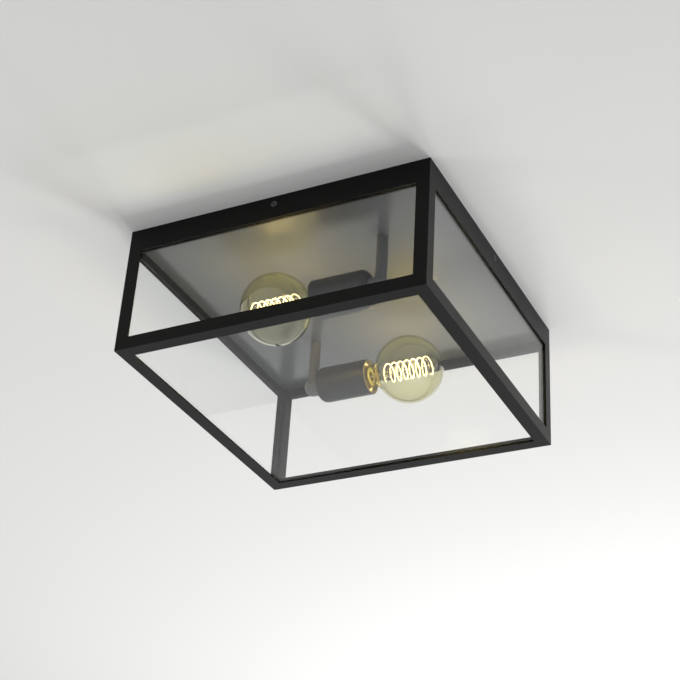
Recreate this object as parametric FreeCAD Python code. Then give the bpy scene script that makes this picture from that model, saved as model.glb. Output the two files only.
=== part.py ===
import FreeCAD, Part
import math
import os

# Square flush ceiling lantern, millimetres. Origin: centre of the plane that meets the ceiling, +Z up.
# The lamps lie along X: lamp_a in the back half points to +X, lamp_b is lamp_a turned half round Z.

# Driving dimensions of the cage
width = 360.0
height = 154.0
sheet = 1.5
bar = 15.0
band_height = 28.0
lip = 7.0
lip_hem = 3.0
glass = 3.0
glass_gap = 0.3

# Ceiling pan and what hangs from it
pan_depth = 15.0
pan_gap = 3.0
strap_width = 30.0
strap_reach = 62.0
foot = 14.0
slot_spacing = 70.0
slot_length = 14.0
slot_radius = 2.6
cable_hole_radius = 8.0

# Wiring inside the pan
block_y = -45.0
block_height = 10.0
way_pitch = 10.0
earth_x = 40.0
lead_z = -pan_depth + sheet + 4
over_z = -4.0

# Lamps: the holder's axis lies at lamp_z, the stem comes down at (-stem_x, lamp_y)
lamp_y = 85.0
lamp_z = -76.0
stem_x = 84.0
stem_radius = 6.4
nipple_radius = 5.0
stem_bore = 3.5
elbow_radius = 10.8
elbow_rear = 8.5
elbow_round = 9.0
holder_radius = 21.0
holder_wall = 2.5
holder_rear = -73.5
holder_mouth = -7.0
shoulder = 9.0

# E27 thread drawn as its plain crest, and an 80 mm class globe
cap_radius = 13.05
ring_radius = 13.25
cap_rim = -8.0
cap_length = 22.0
globe_radius = 40.0
globe_x = 42.0
globe_wall = 1.0
neck_radius = 12.6
mount_bore = 0.6
filament_start = 13.0
filament_end = 69.0
filament_radius = 11.0
filament_turns = 7
filament_wire = 0.6
disc_x = -6.6
disc_hole = 6.0

# Cage fixing screws
insert_radius = 3.4
insert_bore = 2.05
set_screw_radius = 2.0
screw_z = -10.0

half = width / 2
inner = half - sheet
bottom = -height
sides = {"front": 0, "right": 90, "back": 180, "left": 270}
up = FreeCAD.Vector(0, 0, 1)
east = FreeCAD.Vector(1, 0, 0)
origin = FreeCAD.Vector(0, 0, 0)


def vec(x, y, z):
    return FreeCAD.Vector(x, y, z)


def block(x0, x1, y0, y1, z0, z1):
    return Part.makeBox(x1 - x0, y1 - y0, z1 - z0, vec(x0, y0, z0))


def rod(radius, start, end):
    axis = vec(*end).sub(vec(*start))
    return Part.makeCylinder(radius, axis.Length, vec(*start), axis)


def turned(shape, degrees):
    copy = shape.copy()
    copy.rotate(origin, up, degrees)
    return copy


def prism_x(outline, x0, x1):
    """Extrude a closed (y, z) outline along X."""
    face = Part.Face(Part.makePolygon([vec(x0, y, z) for y, z in outline + outline[:1]]))
    return face.extrude(vec(x1 - x0, 0, 0))


def revolve_x(edges, y, z):
    """Turn a closed outline of edges, drawn in the XZ plane with its axis on X, then lift it to (y, z)."""
    solid = Part.Face(Part.Wire(edges)).revolve(origin, east, 360)
    solid = Part.makeSolid(solid) if solid.ShapeType == "Shell" else solid
    solid.translate(vec(0, y, z))
    return solid


def path(*points):
    """Edges through (x, r) points; a point of three values is the middle of an arc to the next point."""
    edges = []
    start = points[0]
    through = None
    for point in points[1:]:
        if len(point) == 3:
            through = point
            continue
        a = vec(start[0], 0, start[1])
        b = vec(point[0], 0, point[1])
        if through:
            edges.append(Part.Arc(a, vec(through[0], 0, through[1]), b).toShape())
        else:
            edges.append(Part.LineSegment(a, b).toShape())
        start = point
        through = None
    return edges


def mitred(shape, reach):
    """Cut a front bar, which runs along X, at 45 degrees at both ends."""
    corner = [vec(-reach, -reach, 10), vec(reach, -reach, 10), vec(0, 0, 10), vec(-reach, -reach, 10)]
    wedge = Part.Face(Part.makePolygon(corner)).extrude(vec(0, 0, bottom - 20))
    return shape.common(wedge)


def tube_along(points, bend, radius):
    """Round tube on straight runs joined by tangent arcs of radius bend."""
    edges = []
    start = vec(*points[0])
    for before, here, after in zip(points, points[1:], points[2:]):
        here = vec(*here)
        back = vec(*before).sub(here).normalize()
        ahead = vec(*after).sub(here).normalize()
        half_turn = (math.pi - back.getAngle(ahead)) / 2
        trim = bend * math.tan(half_turn)
        a = here.add(vec(*back).multiply(trim))
        b = here.add(vec(*ahead).multiply(trim))
        bisector = back.add(ahead).normalize()
        centre = here.add(vec(*bisector).multiply(bend / math.cos(half_turn)))
        middle = centre.sub(vec(*bisector).multiply(bend))
        edges.append(Part.LineSegment(start, a).toShape())
        edges.append(Part.Arc(a, middle, b).toShape())
        start = b
    edges.append(Part.LineSegment(start, vec(*points[-1])).toShape())
    spine = Part.Wire(edges)
    direction = vec(*points[1]).sub(vec(*points[0]))
    section = Part.Wire(Part.makeCircle(radius, vec(*points[0]), direction))
    tube = spine.makePipeShell([section], True, False)
    print("lead", round(tube.Volume / (math.pi * radius ** 2 * spine.Length), 4), "of its length's volume")
    return tube


def save(name, *shapes):
    shape = shapes[0] if len(shapes) == 1 else Part.makeCompound(list(shapes))
    assert shape.isValid(), name
    assert all(solid.Volume > 0 for solid in shape.Solids), name
    shape.exportStep(f"parts/{name}.step")


# --- cage: band, posts, rails and glass ---

def top_band(degrees):
    # face on the outside, return lip at its foot, and the lip's edge folded up
    outline = [(-half, 0), (-half, -band_height), (-half + lip, -band_height),
               (-half + lip, -band_height + lip_hem), (-half + lip - sheet, -band_height + lip_hem),
               (-half + lip - sheet, -band_height + sheet), (-inner, -band_height + sheet), (-inner, 0)]
    side = mitred(prism_x(outline, -half, half), half)
    side = side.cut(rod(insert_radius, (0, -half - 1, screw_z), (0, -inner + 1, screw_z)))
    return turned(side, degrees)


def bottom_rail(degrees):
    outline = [(-half, bottom + bar), (-half, bottom), (-half + bar, bottom),
               (-half + bar, bottom + sheet), (-inner, bottom + sheet), (-inner, bottom + bar)]
    return turned(mitred(prism_x(outline, -half, half), half), degrees)


def corner_post(degrees):
    # angle bar between the band's foot and the bottom rails, both legs flush with the faces
    low = bottom + bar
    leg_a = block(-half, -half + bar, -half, -inner, low, -band_height)
    leg_b = block(-half, -inner, -half, -half + bar, low, -band_height)
    return turned(leg_a.fuse(leg_b).removeSplitter(), degrees)


def side_pane(degrees):
    outer_face = inner - glass_gap
    overlap = glass + glass_gap if degrees % 180 else 0
    reach = outer_face - glass_gap - overlap
    pane = block(-reach, reach, -outer_face, -outer_face + glass, bottom + sheet, -band_height)
    return turned(pane, degrees)


def bottom_pane():
    reach = inner - 2 * glass_gap - glass
    return block(-reach, reach, -reach, reach, bottom + sheet, bottom + sheet + glass)


def glazing_seals():
    # sealant strips, two on each side, that bond the side panes to the legs of the posts
    strips = []
    for degrees in sides.values():
        for x in (-half + 6, half - bar + 2):
            strip = block(x, x + 7, -inner, -inner + glass_gap, bottom + bar + 1, -band_height - 1)
            strips.append(turned(strip, degrees))
    return strips


def hexagon(radius, centre, axis, depth):
    """Six-sided prism whose corners lie on radius, from centre along axis (Y or Z)."""
    corners = []
    for corner in range(7):
        across = radius * math.cos(math.radians(60 * corner))
        along = radius * math.sin(math.radians(60 * corner))
        offset = vec(across, along, 0) if axis == "z" else vec(across, 0, along)
        corners.append(vec(*centre).add(offset))
    direction = vec(0, 0, depth) if axis == "z" else vec(0, depth, 0)
    return Part.Face(Part.makePolygon(corners)).extrude(direction)


def threaded_insert():
    # rivet nut in the band: flange proud outside, nose stopping short of the pan
    nose = -inner + pan_gap - 0.4
    insert = rod(insert_radius, (0, -half, screw_z), (0, nose, screw_z))
    insert = insert.fuse(rod(insert_radius + 0.1, (0, -half - 0.4, screw_z), (0, -half, screw_z)))
    bore = rod(insert_bore, (0, -half - 1, screw_z), (0, nose + 1, screw_z))
    return insert.removeSplitter().cut(bore)


def set_screw():
    # socket set screw whose tip clamps the pan's wall
    head = -half + 0.2
    screw = rod(set_screw_radius, (0, head, screw_z), (0, -inner + pan_gap - 0.02, screw_z))
    return screw.cut(hexagon(1.15, (0, head, screw_z), "y", 1.8))


# --- pan, mounting strap and wiring ---

def ceiling_pan():
    edge = inner - pan_gap
    tray = block(-edge, edge, -edge, edge, -pan_depth, 0)
    tray = tray.makeFillet(2.0, [e for e in tray.Edges if abs(e.BoundBox.ZLength - pan_depth) < 0.01])
    room = edge - sheet
    hollow = block(-room, room, -room, room, -pan_depth + sheet, 1)
    tray = tray.cut(hollow)
    for sign in (-1, 1):
        x, y = -sign * stem_x, sign * lamp_y
        tray = tray.cut(rod(nipple_radius + 0.15, (x, y, -pan_depth - 1), (x, y, -pan_depth + 3)))
        x = sign * (strap_reach + foot / 2)
        tray = tray.cut(rod(2.2, (x, 0, -pan_depth - 1), (x, 0, -pan_depth + 3)))
    return tray


def mounting_strap():
    # top-hat strap: the web meets the ceiling, its feet stand on the pan
    end = strap_reach + foot
    top = [(-end, -pan_depth + sheet), (-end, -pan_depth + 2 * sheet), (-strap_reach, -pan_depth + 2 * sheet),
           (-strap_reach, 0)]
    low = [(strap_reach - sheet, -pan_depth + sheet), (strap_reach - sheet, -sheet)]
    outline = top + [(-x, z) for x, z in reversed(top)] + low + [(-x, z) for x, z in reversed(low)]
    side = strap_width / 2
    face = Part.Face(Part.makePolygon([vec(x, -side, z) for x, z in outline + outline[:1]]))
    strap = face.extrude(vec(0, strap_width, 0))
    strap = strap.cut(rod(cable_hole_radius, (0, 0, -3), (0, 0, 1)))
    run = slot_length / 2 - slot_radius
    for x in (-slot_spacing / 2, slot_spacing / 2):
        strap = strap.cut(rod(slot_radius, (x - run, 0, -3), (x - run, 0, 1)))
        strap = strap.cut(rod(slot_radius, (x + run, 0, -3), (x + run, 0, 1)))
        strap = strap.cut(block(x - run, x + run, -slot_radius, slot_radius, -3, 1))
    for x in (-strap_reach - foot / 2, strap_reach + foot / 2):
        strap = strap.cut(rod(2.0, (x, 0, -pan_depth), (x, 0, -pan_depth + 4)))
    return strap


def cable_grommet():
    ring = rod(cable_hole_radius + 2, (0, 0, -sheet - 1.5), (0, 0, -sheet))
    ring = ring.fuse(rod(cable_hole_radius, (0, 0, -sheet), (0, 0, -0.1))).removeSplitter()
    return ring.cut(rod(cable_hole_radius - 2, (0, 0, -5), (0, 0, 1)))


def pan_screws():
    screws = []
    for x in (-strap_reach - foot / 2, strap_reach + foot / 2):
        shank = rod(2.0, (x, 0, -pan_depth), (x, 0, -pan_depth + 6))
        head = rod(3.8, (x, 0, -pan_depth - 2.2), (x, 0, -pan_depth))
        head = head.makeFillet(1.2, [e for e in head.Edges if e.BoundBox.ZMax < -pan_depth - 2])
        slot = block(x - 0.5, x + 0.5, -2.4, 2.4, -pan_depth - 3, -pan_depth - 1)
        cross = block(x - 2.4, x + 2.4, -0.5, 0.5, -pan_depth - 3, -pan_depth - 1)
        screws.append(shank.fuse(head).cut(slot.fuse(cross)))
    return screws


def terminal_block():
    low = -pan_depth + sheet
    body = block(-16, 16, block_y - 9, block_y + 9, low, low + block_height)
    for x in (-way_pitch, 0, way_pitch):
        body = body.cut(rod(2.2, (x, block_y - 10, low + 4), (x, block_y + 10, low + 4)))
        for y in (block_y - 5, block_y + 5):
            body = body.cut(rod(1.8, (x, y, low + 4), (x, y, low + block_height + 1)))
    return body


def terminal_screws():
    low = -pan_depth + sheet
    return [rod(1.7, (x, y, low + 5.4), (x, y, low + block_height - 1))
            for x in (-way_pitch, 0, way_pitch) for y in (block_y - 5, block_y + 5)]


def earth_stud():
    low = -pan_depth + sheet
    stud = rod(2.0, (earth_x, block_y, low), (earth_x, block_y, low + 9))
    return stud.fuse(rod(4.0, (earth_x, block_y, low), (earth_x, block_y, low + 1.5))).removeSplitter()


def earth_nut():
    low = -pan_depth + sheet + 2.5
    nut = hexagon(4.04, (earth_x, block_y, low), "z", 3.2)
    return nut.cut(rod(2.05, (earth_x, block_y, low - 1), (earth_x, block_y, low + 5)))


def earth_lead():
    # ring tag under the nut, and its lead from the block's third way
    tag_z = -pan_depth + sheet + 2
    ring = rod(4.0, (earth_x, block_y, tag_z - 0.5), (earth_x, block_y, tag_z + 0.5))
    ring = ring.cut(rod(2.05, (earth_x, block_y, tag_z - 1), (earth_x, block_y, tag_z + 1)))
    neck = block(earth_x - 0.9, earth_x + 0.9, block_y + 3, block_y + 5.5, tag_z - 0.5, tag_z + 0.5)
    route = [(way_pitch, block_y + 5, lead_z), (way_pitch, block_y + 17, lead_z),
             (earth_x - 8, block_y + 17, lead_z - 1), (earth_x, block_y + 10, tag_z),
             (earth_x, block_y + 4.6, tag_z)]
    return tube_along(route, 3.0, 0.9).fuse([ring, neck]).removeSplitter()


def lamp_leads(degrees):
    # live and neutral from the terminal block, down the stem's bore and round the elbow into the holder
    leads = []
    for way, offset in ((-way_pitch, -1.5), (0, 1.5)):
        # lamp_b's leads leave the block on its other side; both climb over the stem's threaded end
        side = -1 if degrees else 1
        home = (side * way, side * block_y + 5, lead_z)
        gate = (side * way, lamp_y / 2 if side > 0 else lamp_y - 15, lead_z)
        climb = (side * way - 25, gate[1] + 10, over_z)
        above = (-stem_x, lamp_y + offset, over_z)
        below = (-stem_x, lamp_y + offset, lamp_z)
        inside = (holder_rear + 9, lamp_y + offset, lamp_z)
        leads.append(turned(tube_along([home, gate, climb, above, below, inside], 3.2, 1.0), degrees))
    return leads


# --- lamp_a: stem, elbow, holder and bulb ---

def lamp_stem():
    x, y = -stem_x, lamp_y
    stem = rod(stem_radius, (x, y, lamp_z + 7), (x, y, -pan_depth))
    stem = stem.fuse(rod(nipple_radius, (x, y, -pan_depth), (x, y, -pan_depth + 9))).removeSplitter()
    return stem.cut(rod(stem_bore, (x, y, lamp_z), (x, y, 0)))


def stem_nut():
    x, y = -stem_x, lamp_y
    low = -pan_depth + sheet
    return hexagon(8.1, (x, y, low), "z", 4).cut(rod(nipple_radius, (x, y, low - 1), (x, y, low + 6)))


def elbow():
    # barrel with a ball-shaped end behind the stem, which stands in a seat on its top
    x, y = -stem_x, lamp_y
    rear = -stem_x - elbow_rear
    body = rod(elbow_radius, (rear, y, lamp_z), (holder_rear, y, lamp_z))
    body = body.makeFillet(elbow_round, [e for e in body.Edges if e.BoundBox.XMax < rear + 0.01])
    body = body.cut(rod(stem_radius, (x, y, lamp_z + 7), (x, y, lamp_z + 30)))
    body = body.cut(rod(stem_bore, (x, y, lamp_z), (x, y, lamp_z + 8)))
    return body.cut(rod(stem_bore, (x - 3, y, lamp_z), (holder_rear + 1, y, lamp_z)))


def holder_shell():
    wall = holder_radius - holder_wall
    bend = shoulder * math.sqrt(0.5)
    outer = path((holder_rear, stem_bore), (holder_rear, holder_radius - shoulder),
                 (holder_rear + shoulder - bend, holder_radius - shoulder + bend, 0),
                 (holder_rear + shoulder, holder_radius), (holder_mouth - 1, holder_radius),
                 (holder_mouth - 0.3, holder_radius - 0.3, 0), (holder_mouth, holder_radius - 1),
                 (holder_mouth, wall), (holder_rear + 8, wall), (holder_rear + 8, stem_bore),
                 (holder_rear, stem_bore))
    return revolve_x(outer, lamp_y, lamp_z)


def holder_insert():
    # ceramic core behind and round the thread ring
    outer = path((holder_rear + 8, 4), (holder_rear + 8, holder_radius - holder_wall - 0.3),
                 (holder_mouth - 6, holder_radius - holder_wall - 0.3), (holder_mouth - 6, ring_radius + 0.8),
                 (-33, ring_radius + 0.8), (-33, 9), (-40, 9), (-40, 4), (holder_rear + 8, 4))
    return revolve_x(outer, lamp_y, lamp_z)


def holder_contacts():
    ring = revolve_x(path((-33, ring_radius), (-33, ring_radius + 0.8), (holder_mouth - 4, ring_radius + 0.8),
                          (holder_mouth - 4, ring_radius), (-33, ring_radius)), lamp_y, lamp_z)
    tongue = block(-40, -39, lamp_y - 3, lamp_y + 8, lamp_z - 3, lamp_z + 3)
    spring = rod(2.5, (-39, lamp_y, lamp_z), (-35.3, lamp_y, lamp_z))
    return [ring, tongue.fuse(spring).removeSplitter()]


def bulb_cap():
    # thin brass shell, plain outside at the thread's crest, with its rim rolled in to the glass
    inside = cap_radius - 0.4
    rear = cap_rim - cap_length
    shell = path((rear, 8.6), (rear, cap_radius - 1.5), (rear + 0.45, cap_radius - 0.45, 0),
                 (rear + 1.5, cap_radius), (cap_rim, cap_radius), (cap_rim, inside), (rear + 1.5, inside),
                 (rear + 0.8, inside - 0.3, 0), (rear + 0.5, inside - 1.0), (rear + 0.5, 8.6), (rear, 8.6))
    return revolve_x(shell, lamp_y, lamp_z)


def bulb_insulator():
    rear = cap_rim - cap_length
    cone = path((rear, 3.0), (rear - 3, 3.0), (rear - 3, 5.0), (rear, 8.5), (rear, 3.0))
    return revolve_x(cone, lamp_y, lamp_z)


def bulb_tip():
    # solder button on the insulator's end
    rear = cap_rim - cap_length - 3
    shank = rod(2.9, (rear, lamp_y, lamp_z), (rear + 1, lamp_y, lamp_z))
    button = Part.makeCone(3.6, 2.4, 1.9, vec(rear, lamp_y, lamp_z), vec(-1, 0, 0))
    return shank.fuse(button).removeSplitter()


def globe_outline(inset):
    # neck and sphere joined by a tangent fillet
    ball = globe_radius - inset
    neck = neck_radius - inset
    fillet = 10.0 + inset
    rise = neck + fillet
    run = math.sqrt((ball + fillet) ** 2 - rise ** 2)
    centre = globe_x - run
    share = ball / (ball + fillet)
    meet = (globe_x - run * share, rise * share)
    angle = (-math.pi / 2 + math.atan2(meet[1] - rise, meet[0] - centre)) / 2
    middle = (centre + fillet * math.cos(angle), rise + fillet * math.sin(angle), 0)
    return neck, centre, middle, meet, ball


def bulb_globe():
    neck, centre, middle, meet, ball = globe_outline(0.0)
    neck_i, centre_i, middle_i, meet_i, ball_i = globe_outline(globe_wall)
    start = cap_rim - 10
    outer_top = (globe_x, ball, 0)
    inner_top = (globe_x, ball_i, 0)
    outline = path((start, neck_i), (start, neck), (centre, neck), middle, meet, outer_top,
                   (globe_x + ball, 0), (globe_x + ball_i, 0), inner_top, meet_i, middle_i,
                   (centre_i, neck_i), (start, neck_i))
    return revolve_x(outline, lamp_y, lamp_z)


def bulb_stem():
    # glass mount: flare sealed in the neck, narrowing to a rod, with its exhaust bore left open
    outline = path((cap_rim - 6, mount_bore), (cap_rim - 6, neck_radius - globe_wall - 0.3), (cap_rim - 4, 8.5),
                   (cap_rim + 1, 4.0, 0), (cap_rim + 7, 3.2), (cap_rim + 16, 2.4), (cap_rim + 26, 1.6),
                   (cap_rim + 26, mount_bore), (cap_rim - 6, mount_bore))
    return revolve_x(outline, lamp_y, lamp_z)


def tangent_arc(a, corner, b):
    """Arc from a to b whose end tangents meet at corner, as far from a as from b."""
    chord_middle = a.add(b).multiply(0.5)
    half_chord = b.sub(a).Length / 2
    inward = corner.sub(chord_middle)
    radius = corner.sub(a).Length * half_chord / inward.Length
    sagitta = radius - math.sqrt(radius ** 2 - half_chord ** 2)
    middle = chord_middle.add(inward.normalize().multiply(sagitta))
    return Part.Arc(a, middle, b).toShape()


def spiral_wire(radius, pitch, turns):
    """Helix about +X from x = 0, as two tangent arcs for each quarter turn."""
    rise = pitch / (2 * math.pi)

    def at(angle):
        return vec(rise * angle, radius * math.cos(angle), radius * math.sin(angle))

    def heading(angle):
        return vec(rise, -radius * math.sin(angle), radius * math.cos(angle)).normalize()

    edges = []
    quarter = math.pi / 2
    for step in range(int(turns * 4)):
        a, b = at(step * quarter), at((step + 1) * quarter)
        ta, tb = heading(step * quarter), heading((step + 1) * quarter)
        span = b.sub(a)
        along = span.dot(ta.add(tb))
        spread = 2 * (1 - ta.dot(tb))
        reach = (math.sqrt(along ** 2 + spread * span.dot(span)) - along) / spread
        corner_a = a.add(vec(*ta).multiply(reach))
        corner_b = b.sub(vec(*tb).multiply(reach))
        join = corner_a.add(corner_b).multiply(0.5)
        edges.append(tangent_arc(a, corner_a, join))
        edges.append(tangent_arc(join, corner_b, b))
    return Part.Wire(edges)


def bulb_filament():
    # one open spiral along the axis
    pitch = (filament_end - filament_start) / filament_turns
    spine = spiral_wire(filament_radius, pitch, filament_turns)
    heading = vec(pitch / (2 * math.pi), 0, filament_radius)
    section = Part.Wire(Part.makeCircle(filament_wire, vec(0, filament_radius, 0), heading))
    coil = spine.makePipeShell([section], True, False)
    coil.translate(vec(filament_start, lamp_y, lamp_z))
    return coil


def bulb_wires():
    # the two wires from the mount to the filament's ends, and the metal disc sprung into the neck
    near = tube_along([(cap_rim + 12, lamp_y + 3.4, lamp_z), (filament_start - 2.5, lamp_y + 4.5, lamp_z),
                       (filament_start - 1, lamp_y + filament_radius, lamp_z)], 1.5, 0.3)
    far = tube_along([(cap_rim + 26.1, lamp_y, lamp_z), (filament_end + 1, lamp_y, lamp_z),
                      (filament_end + 1, lamp_y + filament_radius, lamp_z)], 1.5, 0.3)
    disc = rod(neck_radius - globe_wall, (disc_x, lamp_y, lamp_z), (disc_x + 0.4, lamp_y, lamp_z))
    disc = disc.cut(rod(disc_hole, (disc_x - 1, lamp_y, lamp_z), (disc_x + 1, lamp_y, lamp_z)))
    return [near, far, disc]


def build():
    os.makedirs("parts", exist_ok=True)
    for name, degrees in sides.items():
        save(f"top_band_{name}", top_band(degrees))
        save(f"bottom_rail_{name}", bottom_rail(degrees))
        save(f"side_glass_{name}", side_pane(degrees))
        save(f"set_screw_{name}", turned(set_screw(), degrees))
    corners = {"front_left": 0, "front_right": 90, "back_right": 180, "back_left": 270}
    for name, degrees in corners.items():
        save(f"corner_post_{name}", corner_post(degrees))
    save("threaded_inserts", *[turned(threaded_insert(), degrees) for degrees in sides.values()])
    save("bottom_glass", bottom_pane())
    save("glazing_seals", *glazing_seals())
    save("ceiling_pan", ceiling_pan())
    save("mounting_strap", mounting_strap())
    save("cable_grommet", cable_grommet())
    save("pan_screws", *pan_screws())
    save("terminal_block", terminal_block())
    save("terminal_screws", *terminal_screws())
    save("earth_stud", earth_stud())
    save("earth_nut", earth_nut())
    save("earth_lead", earth_lead())
    save("lamp_leads_a", *lamp_leads(0))
    save("lamp_leads_b", *lamp_leads(180))
    lamp_pieces = {"lamp_stem": lamp_stem(), "stem_nut": stem_nut(), "elbow": elbow(),
                   "holder_shell": holder_shell(), "holder_insert": holder_insert(),
                   "bulb_cap": bulb_cap(), "bulb_insulator": bulb_insulator(), "bulb_tip": bulb_tip(),
                   "bulb_globe": bulb_globe(), "bulb_stem": bulb_stem(), "bulb_filament": bulb_filament()}
    for tag, degrees in (("a", 0), ("b", 180)):
        for piece, shape in lamp_pieces.items():
            save(f"{piece}_{tag}", turned(shape, degrees))
        save(f"holder_contacts_{tag}", *[turned(shape, degrees) for shape in holder_contacts()])
        save(f"bulb_wires_{tag}", *[turned(shape, degrees) for shape in bulb_wires()])


build()
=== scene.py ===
import math

import bmesh
import bpy
from mathutils import Matrix, Vector


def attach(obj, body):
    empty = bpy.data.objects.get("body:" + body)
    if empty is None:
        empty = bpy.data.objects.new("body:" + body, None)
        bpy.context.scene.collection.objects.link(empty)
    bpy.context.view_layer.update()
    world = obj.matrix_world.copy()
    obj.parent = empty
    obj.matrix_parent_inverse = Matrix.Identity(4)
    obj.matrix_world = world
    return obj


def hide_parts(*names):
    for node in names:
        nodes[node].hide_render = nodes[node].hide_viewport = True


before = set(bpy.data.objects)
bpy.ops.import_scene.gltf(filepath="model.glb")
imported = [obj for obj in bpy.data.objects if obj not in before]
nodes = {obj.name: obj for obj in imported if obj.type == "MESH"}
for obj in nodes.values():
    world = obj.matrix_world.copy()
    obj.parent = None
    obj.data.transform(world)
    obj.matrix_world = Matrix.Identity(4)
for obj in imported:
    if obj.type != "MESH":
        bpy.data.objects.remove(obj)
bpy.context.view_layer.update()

lampY = 0.085
lampZ = -0.076
lampSides = {"a": 0.0, "b": math.pi}
print("frame loaded", len(nodes), "nodes")


def newGroup(name, outputs, inputs=()):
    group = bpy.data.node_groups.new(name, "ShaderNodeTree")
    for label, kind, value in inputs:
        socket = group.interface.new_socket(name=label, in_out="INPUT", socket_type=kind)
        socket.default_value = value
    for label, kind in outputs:
        group.interface.new_socket(name=label, in_out="OUTPUT", socket_type=kind)
    return group, group.nodes.new("NodeGroupInput"), group.nodes.new("NodeGroupOutput")


def addNode(tree, kind, **settings):
    node = tree.nodes.new(kind)
    for key, value in settings.items():
        if key.startswith("in_"):
            node.inputs[key[3:].replace("_", " ")].default_value = value
        else:
            setattr(node, key, value)
    return node


def makeGrainGroup():
    # two sizes of soft noise as a bump, and slow blotches for colour and gloss
    group, entry, leave = newGroup(
        "surfaceGrain",
        [("Normal", "NodeSocketVector"), ("Blotch", "NodeSocketFloat")],
        [("Grain Scale", "NodeSocketFloat", 1500.0), ("Depth", "NodeSocketFloat", 0.00004),
         ("Blotch Scale", "NodeSocketFloat", 22.0)])
    link = group.links.new
    coordinates = addNode(group, "ShaderNodeTexCoord")
    fine = addNode(group, "ShaderNodeTexNoise", in_Detail=3.0, in_Roughness=0.45)
    slow = addNode(group, "ShaderNodeTexNoise", in_Detail=4.0, in_Roughness=0.6)
    bump = addNode(group, "ShaderNodeBump", in_Strength=1.0)
    for noise, size in ((fine, "Grain Scale"), (slow, "Blotch Scale")):
        link(coordinates.outputs["Object"], noise.inputs["Vector"])
        link(entry.outputs[size], noise.inputs["Scale"])
    link(fine.outputs["Fac"], bump.inputs["Height"])
    link(entry.outputs["Depth"], bump.inputs["Distance"])
    link(bump.outputs["Normal"], leave.inputs["Normal"])
    link(slow.outputs["Fac"], leave.inputs["Blotch"])
    return group


def makeWearAndHighlightGroup():
    # white where a sharp edge is, broken up by noise: used for rubbed edges, and on the black coat also for a
    # painted highlight along the arrises
    group, entry, leave = newGroup(
        "edgeWearAndHighlight", [("Mask", "NodeSocketFloat")],
        [("Radius", "NodeSocketFloat", 0.0008), ("Break Up", "NodeSocketFloat", 90.0)])
    link = group.links.new
    bevel = addNode(group, "ShaderNodeBevel", samples=4)
    geometry = addNode(group, "ShaderNodeNewGeometry")
    dot = addNode(group, "ShaderNodeVectorMath", operation="DOT_PRODUCT")
    ramp = addNode(group, "ShaderNodeMapRange", in_From_Min=0.99, in_From_Max=0.8)
    coordinates = addNode(group, "ShaderNodeTexCoord")
    noise = addNode(group, "ShaderNodeTexNoise", in_Detail=3.0)
    gate = addNode(group, "ShaderNodeMapRange", in_From_Min=0.45, in_From_Max=0.7)
    product = addNode(group, "ShaderNodeMath", operation="MULTIPLY")
    link(entry.outputs["Radius"], bevel.inputs["Radius"])
    link(bevel.outputs["Normal"], dot.inputs[0])
    link(geometry.outputs["Normal"], dot.inputs[1])
    link(dot.outputs["Value"], ramp.inputs["Value"])
    link(coordinates.outputs["Object"], noise.inputs["Vector"])
    link(entry.outputs["Break Up"], noise.inputs["Scale"])
    link(noise.outputs["Fac"], gate.inputs["Value"])
    link(ramp.outputs["Result"], product.inputs[0])
    link(gate.outputs["Result"], product.inputs[1])
    link(product.outputs["Value"], leave.inputs["Mask"])
    return group


grainGroup = makeGrainGroup()
wearAndHighlightGroup = makeWearAndHighlightGroup()


def startMaterial(name):
    material = bpy.data.materials.new(name)
    material.use_nodes = True
    shader = material.node_tree.nodes["Principled BSDF"]
    return material, material.node_tree, shader


def addGrain(tree, shader, look):
    grain = addNode(tree, "ShaderNodeGroup", node_tree=grainGroup)
    grain.inputs["Grain Scale"].default_value = look["grainScale"]
    grain.inputs["Depth"].default_value = look["grainDepth"]
    grain.inputs["Blotch Scale"].default_value = look.get("blotchScale", 22.0)
    tree.links.new(grain.outputs["Normal"], shader.inputs["Normal"])
    return grain.outputs["Blotch"]


def addTones(tree, blotch, first, second):
    tones = addNode(tree, "ShaderNodeMix", data_type="RGBA")
    tones.inputs["A"].default_value = (*first, 1)
    tones.inputs["B"].default_value = (*second, 1)
    tree.links.new(blotch, tones.inputs["Factor"])
    return tones.outputs["Result"]


def addRoughness(tree, shader, blotch, limits):
    rough = addNode(tree, "ShaderNodeMapRange", in_To_Min=limits[0], in_To_Max=limits[1])
    tree.links.new(blotch, rough.inputs["Value"])
    tree.links.new(rough.outputs["Result"], shader.inputs["Roughness"])


def finishMaterial(name, look):
    # opaque finish: colour between two tones by blotches, grain bump, and lighter edges if it has any (rubbed
    # wear, and on the black coat also a painted highlight)
    material, tree, shader = startMaterial(name)
    link = tree.links.new
    blotch = addGrain(tree, shader, look)
    addRoughness(tree, shader, blotch, look["rough"])
    colour = addTones(tree, blotch, look["dark"], look["light"])
    if "wornAndHighlight" in look:
        # edges made lighter by the mask: rubbed wear, and on the black coat also a painted highlight along
        # the arrises
        wearAndHighlight = addNode(tree, "ShaderNodeGroup", node_tree=wearAndHighlightGroup)
        share = addNode(tree, "ShaderNodeMath", operation="MULTIPLY")
        share.inputs[1].default_value = look["wearAndHighlight"]
        rubbedAndHighlit = addNode(tree, "ShaderNodeMix", data_type="RGBA")
        rubbedAndHighlit.inputs["B"].default_value = (*look["wornAndHighlight"], 1)
        link(wearAndHighlight.outputs["Mask"], share.inputs[0])
        link(share.outputs["Value"], rubbedAndHighlit.inputs["Factor"])
        link(colour, rubbedAndHighlit.inputs["A"])
        colour = rubbedAndHighlit.outputs["Result"]
    link(colour, shader.inputs["Base Color"])
    shader.inputs["Metallic"].default_value = look.get("metal", 0.0)
    shader.inputs["Specular IOR Level"].default_value = look.get("specular", 0.5)
    shader.inputs["Coat Weight"].default_value = look.get("coat", 0.0)
    return material


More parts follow.
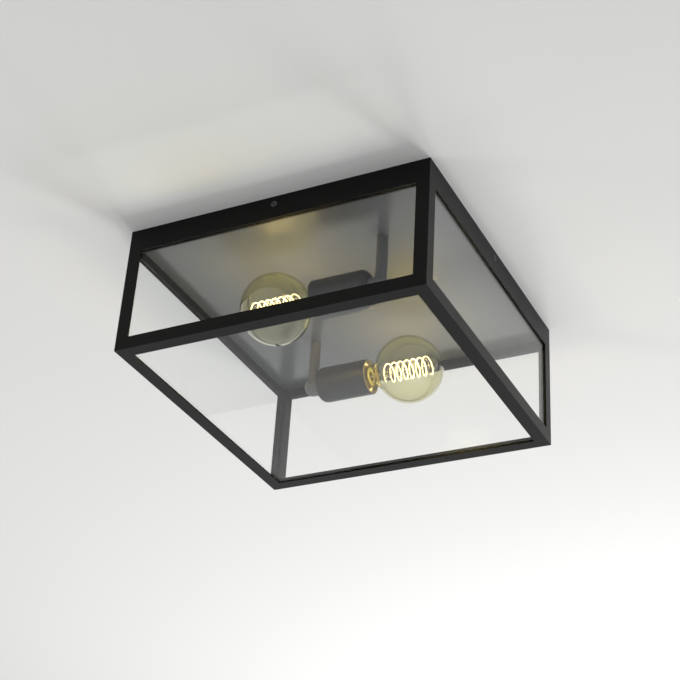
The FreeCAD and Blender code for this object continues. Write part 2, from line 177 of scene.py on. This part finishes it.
looks = {
    # the black coat's lighter edge tone is rubbed wear and also a painted highlight along the rail arrises
    "black_coat": {"dark": (0.003, 0.003, 0.003), "light": (0.006, 0.006, 0.0055), "rough": (0.3, 0.42),
                   "grainScale": 1400.0, "grainDepth": 0.00003, "wornAndHighlight": (0.06, 0.06, 0.058), "wearAndHighlight": 0.6,
                   "specular": 0.12},
    "pan_grey": {"dark": (0.084, 0.089, 0.096), "light": (0.102, 0.107, 0.114), "rough": (0.19, 0.23),
                 "grainScale": 900.0, "grainDepth": 0.0000015, "blotchScale": 9.0, "specular": 0.75},
    "stem_grey": {"dark": (0.125, 0.130, 0.137), "light": (0.155, 0.160, 0.168), "rough": (0.4, 0.5),
                  "grainScale": 1100.0, "grainDepth": 0.00003, "blotchScale": 40.0},
    "holder_grey": {"dark": (0.031, 0.032, 0.034), "light": (0.045, 0.0465, 0.049), "rough": (0.42, 0.55),
                    "grainScale": 1900.0, "grainDepth": 0.00002, "wornAndHighlight": (0.16, 0.16, 0.16), "wearAndHighlight": 0.3},
    "white_ceramic": {"dark": (0.62, 0.60, 0.55), "light": (0.78, 0.76, 0.71), "rough": (0.12, 0.25),
                      "grainScale": 500.0, "grainDepth": 0.00003, "coat": 0.5},
    "brass": {"dark": (0.46, 0.35, 0.11), "light": (0.66, 0.53, 0.22), "rough": (0.16, 0.32), "metal": 1.0,
              "grainScale": 900.0, "grainDepth": 0.00002, "blotchScale": 120.0},
    "zinc_steel": {"dark": (0.45, 0.46, 0.47), "light": (0.68, 0.69, 0.70), "rough": (0.25, 0.42),
                   "metal": 1.0, "grainScale": 1200.0, "grainDepth": 0.00002, "blotchScale": 90.0},
    "dark_steel": {"dark": (0.10, 0.10, 0.10), "light": (0.20, 0.20, 0.20), "rough": (0.3, 0.45),
                   "metal": 1.0, "grainScale": 1500.0, "grainDepth": 0.00002},
    "black_rubber": {"dark": (0.012, 0.012, 0.012), "light": (0.03, 0.03, 0.03), "rough": (0.6, 0.8),
                     "grainScale": 1500.0, "grainDepth": 0.00005},
    "white_plastic": {"dark": (0.60, 0.59, 0.54), "light": (0.74, 0.73, 0.68), "rough": (0.35, 0.5),
                      "grainScale": 1500.0, "grainDepth": 0.00002},
    "lead_sleeve": {"dark": (0.10, 0.035, 0.012), "light": (0.16, 0.06, 0.02), "rough": (0.35, 0.5),
                    "grainScale": 900.0, "grainDepth": 0.00003},
    "green_sleeve": {"dark": (0.05, 0.22, 0.03), "light": (0.10, 0.34, 0.05), "rough": (0.35, 0.5),
                     "grainScale": 900.0, "grainDepth": 0.00003},
    "dark_glass": {"dark": (0.008, 0.008, 0.012), "light": (0.02, 0.02, 0.03), "rough": (0.05, 0.15),
                   "grainScale": 400.0, "grainDepth": 0.00002, "specular": 0.6},
    "gold_disc": {"dark": (0.10, 0.10, 0.02), "light": (0.16, 0.15, 0.035), "rough": (0.32, 0.45),
                  "metal": 0.4, "grainScale": 700.0, "grainDepth": 0.00003, "blotchScale": 200.0},
    "cement": {"dark": (0.30, 0.22, 0.12), "light": (0.45, 0.36, 0.22), "rough": (0.7, 0.9),
               "grainScale": 1300.0, "grainDepth": 0.0001},
}


def glassMaterial(name, look):
    # glass that lets light through to what is behind it, with faint smears in its gloss
    material, tree, shader = startMaterial(name)
    link = tree.links.new
    blotch = addGrain(tree, shader, look)
    addRoughness(tree, shader, blotch, look["rough"])
    tint = addTones(tree, blotch, look["tint"], look["tintTwo"])
    edge = addNode(tree, "ShaderNodeLayerWeight", in_Blend=look["edgeBlend"])
    edged = addNode(tree, "ShaderNodeMix", data_type="RGBA")
    edged.inputs["B"].default_value = (*look["edge"], 1)
    link(edge.outputs["Facing"], edged.inputs["Factor"])
    link(tint, edged.inputs["A"])
    link(edged.outputs["Result"], shader.inputs["Base Color"])
    shader.inputs["Transmission Weight"].default_value = 1.0
    shader.inputs["Metallic"].default_value = 0.0
    shader.inputs["IOR"].default_value = look["ior"]
    path = addNode(tree, "ShaderNodeLightPath")
    passing = addNode(tree, "ShaderNodeMath", operation="MAXIMUM")
    clear = addNode(tree, "ShaderNodeBsdfTransparent")
    clear.inputs["Color"].default_value = (*look["shadow"], 1)
    mixed = addNode(tree, "ShaderNodeMixShader")
    link(path.outputs["Is Shadow Ray"], passing.inputs[0])
    link(path.outputs["Is Diffuse Ray"], passing.inputs[1])
    link(passing.outputs["Value"], mixed.inputs["Fac"])
    link(shader.outputs["BSDF"], mixed.inputs[1])
    link(clear.outputs["BSDF"], mixed.inputs[2])
    link(mixed.outputs["Shader"], tree.nodes["Material Output"].inputs["Surface"])
    return material


glassLooks = {
    "clear_glass": {"tint": (0.995, 1.0, 0.998), "tintTwo": (1.0, 1.0, 1.0), "rough": (0.0, 0.01),
                    "grainScale": 60.0, "grainDepth": 0.000002, "blotchScale": 12.0, "ior": 1.25,
                    "shadow": (0.98, 0.99, 0.985), "edge": (0.97, 0.99, 0.98), "edgeBlend": 0.2},
    "amber_glass": {"tint": (0.91, 0.90, 0.70), "tintTwo": (0.95, 0.94, 0.78), "rough": (0.0, 0.02),
                    "grainScale": 45.0, "grainDepth": 0.00004, "blotchScale": 40.0, "ior": 1.47,
                    "shadow": (0.90, 0.86, 0.68), "edge": (0.60, 0.56, 0.26), "edgeBlend": 0.35},
    "mount_glass": {"tint": (0.95, 0.90, 0.62), "tintTwo": (0.97, 0.93, 0.70), "rough": (0.02, 0.1),
                    "grainScale": 220.0, "grainDepth": 0.0001, "blotchScale": 60.0, "ior": 1.5,
                    "shadow": (0.9, 0.8, 0.5), "edge": (0.8, 0.7, 0.35), "edgeBlend": 0.3},
}

filamentLook = {"colour": (1.0, 0.82, 0.48), "colourTwo": (1.0, 0.90, 0.62), "wire": (0.9, 0.75, 0.4),
                "strength": 75.0, "seen": 2.0, "grainScale": 3000.0, "grainDepth": 0.00002,
                "blotchScale": 70.0}


def glowMaterial(name, look):
    # two tones of glow by slow noise; it lights the scene more strongly than it is seen
    material, tree, shader = startMaterial(name)
    link = tree.links.new
    glow = addTones(tree, addGrain(tree, shader, look), look["colour"], look["colourTwo"])
    link(glow, shader.inputs["Emission Color"])
    shader.inputs["Emission Strength"].default_value = look["seen"]
    shader.inputs["Base Color"].default_value = (*look["wire"], 1)
    shader.inputs["Roughness"].default_value = 0.6
    path = addNode(tree, "ShaderNodeLightPath")
    looked = addNode(tree, "ShaderNodeMath", operation="MAXIMUM")
    lamp = addNode(tree, "ShaderNodeEmission")
    lamp.inputs["Color"].default_value = (*look["colour"], 1)
    lamp.inputs["Strength"].default_value = look["strength"]
    mixed = addNode(tree, "ShaderNodeMixShader")
    link(path.outputs["Is Camera Ray"], looked.inputs[0])
    link(path.outputs["Is Transmission Ray"], looked.inputs[1])
    link(looked.outputs["Value"], mixed.inputs["Fac"])
    link(lamp.outputs["Emission"], mixed.inputs[1])
    link(shader.outputs["BSDF"], mixed.inputs[2])
    link(mixed.outputs["Shader"], tree.nodes["Material Output"].inputs["Surface"])
    return material


materials = {name: finishMaterial(name, look) for name, look in looks.items()}
materials.update({name: glassMaterial(name, look) for name, look in glassLooks.items()})
materials["filament"] = glowMaterial("filament", filamentLook)
print("materials", len(materials))


def placePiece(obj, body, replaced=()):
    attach(obj, body)
    if replaced:
        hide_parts(*replaced)
    return obj


def objectFromMesh(name, mesh, material):
    obj = bpy.data.objects.new(name, mesh)
    bpy.context.scene.collection.objects.link(obj)
    if material:
        mesh.materials.clear()
        mesh.materials.append(material)
    return obj


def roundedOutline(points, closed=True, steps=5):
    # (x, r, fillet) corners in millimetres to a list of (x, r) points with each corner rounded
    outline = []
    count = len(points)
    for index, (x, r, fillet) in enumerate(points):
        here = Vector((x, r))
        if fillet <= 0 or (not closed and index in (0, count - 1)):
            outline.append(here)
            continue
        back = Vector(points[index - 1][:2]) - here
        ahead = Vector(points[(index + 1) % count][:2]) - here
        angle = back.angle(ahead)
        trim = min(fillet / math.tan(angle / 2), back.length * 0.49, ahead.length * 0.49)
        radius = trim * math.tan(angle / 2)
        middle = here + (back.normalized() + ahead.normalized()).normalized() * (radius / math.sin(angle / 2))
        start = here + back.normalized() * trim - middle
        turn = start.angle_signed(here + ahead.normalized() * trim - middle)
        for step in range(steps + 1):
            share = -turn * step / steps
            spun = Vector((start.x * math.cos(share) - start.y * math.sin(share),
                           start.x * math.sin(share) + start.y * math.cos(share)))
            outline.append(middle + spun)
    return [(point.x, point.y) for point in outline]


def turnedMesh(name, outline, segments=96, closed=True, depthAt=None):
    # turn an (x, r) outline in millimetres about the lamp's axis. depthAt(x, r, angle) may cut a thread
    shape = bmesh.new()
    rings = []
    for x, r in outline:
        ring = []
        for step in range(segments):
            angle = 2 * math.pi * step / segments
            radius = r - (depthAt(x, r, angle) if depthAt else 0)
            ring.append(shape.verts.new((x / 1000, lampY + radius * math.cos(angle) / 1000,
                                         lampZ + radius * math.sin(angle) / 1000)))
        rings.append(ring)
    pairs = list(zip(rings, rings[1:])) + ([(rings[-1], rings[0])] if closed else [])
    for one, two in pairs:
        for step in range(segments):
            after = (step + 1) % segments
            shape.faces.new((one[step], one[after], two[after], two[step]))
    bmesh.ops.remove_doubles(shape, verts=shape.verts, dist=1e-6)
    bmesh.ops.recalc_face_normals(shape, faces=shape.faces)
    mesh = bpy.data.meshes.new(name)
    shape.to_mesh(mesh)
    shape.free()
    mesh.shade_smooth()
    return mesh


def lampPiece(name, mesh, slot, side, body, replaced, material=None):
    # copy of a lamp_a mesh placed for side a or b, riding on its body and standing for its nodes
    copy = mesh.copy()
    copy.transform(Matrix.Rotation(lampSides[side], 4, "Z"))
    obj = objectFromMesh(f"{name}_{side}", copy, material or materials[slot])
    return placePiece(obj, body, [f"{node}_{side}" for node in replaced])


def sharpen(mesh, degrees=35.0):
    mesh.shade_smooth()
    mesh.set_sharp_from_angle(angle=math.radians(degrees))


nodeLooks = {
    "black_coat": ("top_band", "bottom_rail", "corner_post"),
    "clear_glass": ("side_glass", "bottom_glass"),
    "zinc_steel": ("mounting_strap", "pan_screws", "earth_stud", "earth_nut", "stem_nut",
                   "bulb_wires", "bulb_tip"),
    "dark_steel": ("set_screw", "threaded_inserts"),
    "pan_grey": ("ceiling_pan",),
    "stem_grey": ("lamp_stem", "elbow"),
    "holder_grey": ("holder_shell",),
    "white_ceramic": ("holder_insert",),
    "brass": ("holder_contacts", "bulb_cap", "terminal_screws"),
    "black_rubber": ("cable_grommet", "glazing_seals"),
    "white_plastic": ("terminal_block",),
    "lead_sleeve": ("lamp_leads",),
    "green_sleeve": ("earth_lead",),
    "dark_glass": ("bulb_insulator",),
    "amber_glass": ("bulb_globe",),
    "mount_glass": ("bulb_stem",),
    "filament": ("bulb_filament",),
}
softEdges = {"top_band": 0.0004, "bottom_rail": 0.00035, "corner_post": 0.00035, "ceiling_pan": 0.0003,
             "terminal_block": 0.0005, "mounting_strap": 0.0002, "side_glass": 0.0003, "bottom_glass": 0.0003}

for name, obj in nodes.items():
    for slot, stems in nodeLooks.items():
        if name.startswith(stems):
            obj.data.materials.clear()
            obj.data.materials.append(materials[slot])
    for stem, width in softEdges.items():
        if name.startswith(stem):
            bevel = obj.modifiers.new("softEdge", "BEVEL")
            bevel.width = width
            bevel.segments = 2
            bevel.limit_method = "ANGLE"
            bevel.angle_limit = math.radians(50)
print("finishes on CAD nodes")


globe = {"radius": 40.0, "x": 42.0, "neck": 12.6, "fillet": 10.0, "wall": 1.0, "start": -18.0}


def globeOutline(inset):
    ball = globe["radius"] - inset
    neck = globe["neck"] - inset
    fillet = globe["fillet"] + inset
    rise = neck + fillet
    run = math.sqrt((ball + fillet) ** 2 - rise ** 2)
    centre = globe["x"] - run
    meet = math.atan2(rise, -run)
    points = [(globe["start"], neck), (centre - 4, neck)]
    bend = math.pi - meet
    for step in range(9):
        angle = -math.pi / 2 + (math.pi / 2 - bend) * step / 8
        points.append((centre + fillet * math.cos(angle), rise + fillet * math.sin(angle)))
    for step in range(1, 49):
        angle = meet * (1 - step / 48)
        points.append((globe["x"] + ball * math.cos(angle), ball * math.sin(angle)))
    return points


globeMesh = turnedMesh("globeGlass", globeOutline(0.0) + globeOutline(globe["wall"])[::-1], 128)
for side in lampSides:
    lampPiece("globeGlass", globeMesh, "amber_glass", side, f"bulb_{side}_globe", ["bulb_globe"])
print("globes")


cap = {"rim": -8.0, "rear": -30.0, "radius": 13.05, "pitch": 3.63, "depth": 0.85, "wall": 0.35,
       "shoulder": 1.0, "insulator": 8.6, "rows": 92}
threadRun = {"rearPlain": 1.2, "rimPlain": 2.6, "fade": 2.0, "coreRadius": 11.0}


def threadDepth(x, r, angle):
    fromRear = max(0.0, (x - cap["rear"] - threadRun["rearPlain"]) / threadRun["fade"])
    fromRim = max(0.0, (cap["rim"] - threadRun["rimPlain"] - x) / threadRun["fade"])
    wave = 0.5 - 0.5 * math.cos(2 * math.pi * x / cap["pitch"] - angle)
    return cap["depth"] * min(1.0, fromRear, fromRim) * wave if r > threadRun["coreRadius"] else 0


shellStart = cap["rear"] + cap["shoulder"]
shellStep = (cap["rim"] - cap["rear"] - cap["shoulder"]) / cap["rows"]
outer = [(shellStart + shellStep * row, cap["radius"]) for row in range(cap["rows"] + 1)]
inner = [(x, r - cap["wall"]) for x, r in reversed(outer)]
rearEdge = roundedOutline([(cap["rear"], cap["insulator"], 0), (cap["rear"], cap["radius"] - 0.4, 0.9),
                           (shellStart, cap["radius"], 0)], closed=False)
capOutline = rearEdge[:-1] + outer + inner + [(cap["rear"] + 0.4, cap["insulator"])]
capMesh = turnedMesh("threadedCap", capOutline, 96, True, threadDepth)
insulatorMesh = turnedMesh("capInsulator", roundedOutline(
    [(-30.0, 3.0, 0), (-30.0, 8.5, 0.3), (-31.6, 7.9, 1.5), (-33.0, 5.0, 1.2),
     (-33.0, 3.0, 0)]), 64)
tipMesh = turnedMesh("solderButton", roundedOutline(
    [(-32.0, 2.9, 0), (-33.0, 2.9, 0.1), (-33.0, 3.7, 0.3), (-34.9, 2.4, 1.1), (-34.9, 0.0, 0),
     (-32.0, 0.0, 0)]), 48)
cementMesh = turnedMesh("basingCement", roundedOutline(
    [(-9.6, 12.62, 0), (-8.1, 12.7, 0.2), (-7.5, 12.66, 0.3), (-7.7, 12.62, 0)]), 96)
for side in lampSides:
    body = f"bulb_{side}_cap"
    lampPiece("threadedCap", capMesh, "brass", side, body, ["bulb_cap"])
    lampPiece("capInsulator", insulatorMesh, "dark_glass", side, body, ["bulb_insulator"])
    lampPiece("solderButton", tipMesh, "zinc_steel", side, body, ["bulb_tip"])
    lampPiece("basingCement", cementMesh, "brass", side, body, [], materials["cement"])
print("lamp caps")


coil = {"start": 13.0, "end": 69.0, "radius": 11.0, "turns": 7.0, "wire": 0.66}


def makeCoilGroup():
    # open helix along X as a round wire
    group = bpy.data.node_groups.new("coilWire", "GeometryNodeTree")
    sockets = [("Geometry", "NodeSocketGeometry"), ("Length", "NodeSocketFloat"),
               ("Radius", "NodeSocketFloat"), ("Turns", "NodeSocketFloat"), ("Wire", "NodeSocketFloat"),
               ("Material", "NodeSocketMaterial")]
    for label, kind in sockets:
        group.interface.new_socket(name=label, in_out="INPUT", socket_type=kind)
    group.interface.new_socket(name="Geometry", in_out="OUTPUT", socket_type="NodeSocketGeometry")
    link = group.links.new
    entry = group.nodes.new("NodeGroupInput")
    leave = group.nodes.new("NodeGroupOutput")
    spiral = addNode(group, "GeometryNodeCurveSpiral")
    spiral.inputs["Resolution"].default_value = 40
    turn = addNode(group, "GeometryNodeTransform")
    turn.inputs["Rotation"].default_value = (0, math.pi / 2, 0)
    ring = addNode(group, "GeometryNodeCurvePrimitiveCircle")
    ring.inputs["Resolution"].default_value = 10
    tube = addNode(group, "GeometryNodeCurveToMesh")
    tube.inputs["Fill Caps"].default_value = True
    realize = addNode(group, "GeometryNodeRealizeInstances")
    paint = addNode(group, "GeometryNodeSetMaterial")
    link(entry.outputs["Turns"], spiral.inputs["Rotations"])
    link(entry.outputs["Radius"], spiral.inputs["Start Radius"])
    link(entry.outputs["Radius"], spiral.inputs["End Radius"])
    link(entry.outputs["Length"], spiral.inputs["Height"])
    link(spiral.outputs["Curve"], turn.inputs["Geometry"])
    link(turn.outputs["Geometry"], tube.inputs["Curve"])
    link(entry.outputs["Wire"], ring.inputs["Radius"])
    link(ring.outputs["Curve"], tube.inputs["Profile Curve"])
    link(tube.outputs["Mesh"], realize.inputs["Geometry"])
    link(realize.outputs["Geometry"], paint.inputs["Geometry"])
    link(entry.outputs["Material"], paint.inputs["Material"])
    link(paint.outputs["Geometry"], leave.inputs["Geometry"])
    return group


def evaluateGroup(name, group, values):
    # run a Geometry Nodes group on an empty mesh and return the finished mesh
    obj = objectFromMesh(name, bpy.data.meshes.new(name), None)
    modifier = obj.modifiers.new("build", "NODES")
    modifier.node_group = group
    for item in group.interface.items_tree:
        if item.in_out == "INPUT" and item.name in values:
            modifier[item.identifier] = values[item.name]
    made = bpy.data.meshes.new_from_object(obj.evaluated_get(bpy.context.evaluated_depsgraph_get()))
    obj.modifiers.clear()
    bpy.data.objects.remove(obj)
    return made


coilMesh = evaluateGroup("spiralFilament", makeCoilGroup(), {
    "Length": (coil["end"] - coil["start"]) / 1000, "Radius": coil["radius"] / 1000, "Turns": coil["turns"],
    "Wire": coil["wire"] / 1000, "Material": materials["filament"]})
coilMesh.transform(Matrix.Translation((coil["start"] / 1000, lampY, lampZ)))
coilMesh.shade_smooth()


def wireMesh(name, runs, radius):
    # round wires along lists of (x, across, down) points in millimetres from the lamp's axis
    curve = bpy.data.curves.new(name, "CURVE")
    curve.dimensions = "3D"
    curve.bevel_depth = radius / 1000
    curve.bevel_resolution = 3
    curve.use_fill_caps = True
    for points in runs:
        spline = curve.splines.new("NURBS")
        spline.points.add(len(points) - 1)
        for slotPoint, (x, y, z) in zip(spline.points, points):
            slotPoint.co = (x / 1000, lampY + y / 1000, lampZ + z / 1000, 1)
        spline.order_u = 3
        spline.use_endpoint_u = True
        spline.resolution_u = 8
    obj = bpy.data.objects.new(name, curve)
    bpy.context.scene.collection.objects.link(obj)
    mesh = bpy.data.meshes.new_from_object(obj.evaluated_get(bpy.context.evaluated_depsgraph_get()))
    bpy.data.objects.remove(obj)
    mesh.shade_smooth()
    return mesh


mountMesh = turnedMesh("glassMount", roundedOutline(
    [(-14.0, 0.6, 0), (-14.0, 11.2, 0.3), (-12.0, 8.6, 2.0), (-6.5, 4.3, 4.0), (2.0, 3.4, 4.0),
     (8.0, 2.2, 2.0), (17.2, 1.6, 1.0), (18.0, 2.3, 0.6), (18.9, 1.5, 0.6), (19.0, 0.6, 0)]), 48)
discMesh = turnedMesh("neckDisc", roundedOutline(
    [(-6.6, 6.0, 0.1), (-6.6, 11.58, 0.1), (-6.1, 11.58, 0.2), (-6.1, 11.0, 0.1), (-6.25, 8.8, 0.6),
     (-5.9, 7.2, 0.5), (-6.2, 6.0, 0.1)]), 96)
reach = coil["radius"]
wires = wireMesh("supportWires", [
    [(4.0, 3.3, 0), (9.0, 4.6, 0), (11.6, 6.5, 0.3), (12.4, 9.5, 0.8), (13.0, reach, 0.1)],
    [(17.5, 0.3, 0), (40.0, 0.1, 0), (64.0, 0.1, 0), (70.6, 0.4, 0), (70.9, 5.0, 0), (69.2, reach, 0.0)],
    [(18.3, 0, 0.4), (24.0, -1.5, 6.0), (29.0, -1.8, reach - 0.3), (29.4, -0.2, reach + 0.7)],
    [(18.3, 0, -0.4), (26.0, 1.0, -6.0), (33.2, 0.4, -reach + 0.4), (33.6, -0.6, -reach - 0.6)],
    [(46.0, 0.1, 0.2), (49.0, -0.4, 6.0), (53.2, -0.6, reach - 0.4), (53.6, 0.5, reach + 0.6)],
], 0.24)
for side in lampSides:
    body = f"bulb_{side}_globe"
    lampPiece("spiralFilament", coilMesh, "filament", side, body, ["bulb_filament"])
    lampPiece("glassMount", mountMesh, "mount_glass", side, body, ["bulb_stem"])
    lampPiece("supportWires", wires, "zinc_steel", side, body, ["bulb_wires"])
    lampPiece("neckDisc", discMesh, "brass", side, body, [], materials["gold_disc"])
print("filaments and mounts")


holder = {"rear": -73.5, "mouth": -7.0, "radius": 21.0, "shoulder": 9.0, "wall": 2.5}
shellOutline = roundedOutline([
    (holder["rear"], 3.5, 0), (holder["rear"], holder["radius"], holder["shoulder"]),
    (holder["mouth"], holder["radius"], 0.9), (holder["mouth"], holder["radius"] - holder["wall"], 0.6),
    (holder["rear"] + 8, holder["radius"] - holder["wall"], 1.0), (holder["rear"] + 8, 3.5, 0)], steps=10)
shellMesh = turnedMesh("holderShell", shellOutline, 128)
sharpen(shellMesh)
for side in lampSides:
    lampPiece("holderShell", shellMesh, "holder_grey", side, "base", ["holder_shell"])
print("holders")


stageLook = {"ceiling": (0.80, 0.80, 0.79), "world": (0.82, 0.83, 0.83), "fill": 0.48,
             "hole": 0.172, "reach": 6.0}


def makeCeiling():
    shape = bmesh.new()
    far, near = stageLook["reach"], stageLook["hole"]
    signs = ((-1, -1), (1, -1), (1, 1), (-1, 1))
    outside, inside = [[shape.verts.new((sx * size, sy * size, 0.0)) for sx, sy in signs]
                       for size in (far, near)]
    for step in range(4):
        after = (step + 1) % 4
        shape.faces.new((outside[after], outside[step], inside[step], inside[after]))
    mesh = bpy.data.meshes.new("ceilingStage")
    shape.to_mesh(mesh)
    shape.free()
    material, tree, shader = startMaterial("stagePaint")
    shader.inputs["Base Color"].default_value = (*stageLook["ceiling"], 1)
    shader.inputs["Roughness"].default_value = 0.9
    shader.inputs["Specular IOR Level"].default_value = 0.0
    geometry = addNode(tree, "ShaderNodeNewGeometry")
    clear = addNode(tree, "ShaderNodeBsdfTransparent")
    mixed = addNode(tree, "ShaderNodeMixShader")
    tree.links.new(geometry.outputs["Backfacing"], mixed.inputs["Fac"])
    tree.links.new(shader.outputs["BSDF"], mixed.inputs[1])
    tree.links.new(clear.outputs["BSDF"], mixed.inputs[2])
    tree.links.new(mixed.outputs["Shader"], tree.nodes["Material Output"].inputs["Surface"])
    obj = objectFromMesh("ceilingStage", mesh, material)


makeCeiling()

world = bpy.data.worlds.new("studio")
bpy.context.scene.world = world
world.use_nodes = True
worldTree = world.node_tree
lightPath = addNode(worldTree, "ShaderNodeLightPath")
seen = addNode(worldTree, "ShaderNodeMath", operation="MAXIMUM")
seenToo = addNode(worldTree, "ShaderNodeMath", operation="MAXIMUM")
fill = addNode(worldTree, "ShaderNodeBackground")
fill.inputs["Color"].default_value = (1, 1, 1, 1)
fill.inputs["Strength"].default_value = stageLook["fill"]
shown = addNode(worldTree, "ShaderNodeBackground")
shown.inputs["Color"].default_value = (*stageLook["world"], 1)
choose = addNode(worldTree, "ShaderNodeMixShader")
worldTree.links.new(lightPath.outputs["Is Camera Ray"], seen.inputs[0])
worldTree.links.new(lightPath.outputs["Is Glossy Ray"], seen.inputs[1])
worldTree.links.new(seen.outputs["Value"], seenToo.inputs[0])
worldTree.links.new(lightPath.outputs["Is Transmission Ray"], seenToo.inputs[1])
worldTree.links.new(seenToo.outputs["Value"], choose.inputs["Fac"])
worldTree.links.new(fill.outputs["Background"], choose.inputs[1])
worldTree.links.new(shown.outputs["Background"], choose.inputs[2])
worldTree.links.new(choose.outputs["Shader"], worldTree.nodes["World Output"].inputs["Surface"])


def addArea(name, place, target, size, power):
    light = bpy.data.lights.new(name, "AREA")
    light.shape = "SQUARE"
    light.size = size
    light.energy = power
    obj = bpy.data.objects.new(name, light)
    obj.location = place
    obj.rotation_euler = (Vector(target) - Vector(place)).to_track_quat("-Z", "Y").to_euler()
    obj.visible_glossy = False  # no picture of the light in glass or paint
    obj.visible_transmission = False
    bpy.context.scene.collection.objects.link(obj)


lights = {"keyBack": {"place": (0.25, 2.3, -1.65), "target": (0.05, 0, -0.05), "size": 1.6, "power": 60},
          "stripLeft": {"place": (-1.6, -1.1, -1.0), "target": (0, 0, -0.08), "size": 0.5, "power": 4}}
for name, light in lights.items():
    addArea(name, **light)

# the camera fitted to the cage's edges: its place and its three directions
fitted = {"lens": 80.15, "sensor": 36.0, "place": (0.68412, -1.29484, -0.95458),
          "right": (0.896514, 0.439373, 0.056691), "down": (-0.182884, 0.483605, -0.855967),
          "ahead": (-0.403505, 0.757019, 0.513913)}
camera = bpy.data.cameras.new("photoCamera")
camera.sensor_width = fitted["sensor"]
camera.lens = fitted["lens"]
camera.clip_start = 0.05
cameraObject = bpy.data.objects.new("photoCamera", camera)
rowsOfMatrix = [(right, -down, -ahead, place) for right, down, ahead, place
                in zip(fitted["right"], fitted["down"], fitted["ahead"], fitted["place"])]
cameraObject.matrix_world = Matrix(rowsOfMatrix + [(0, 0, 0, 1)])
bpy.context.scene.collection.objects.link(cameraObject)
bpy.context.scene.camera = cameraObject
bpy.context.scene.view_settings.view_transform = "Standard"
print("stage and camera")
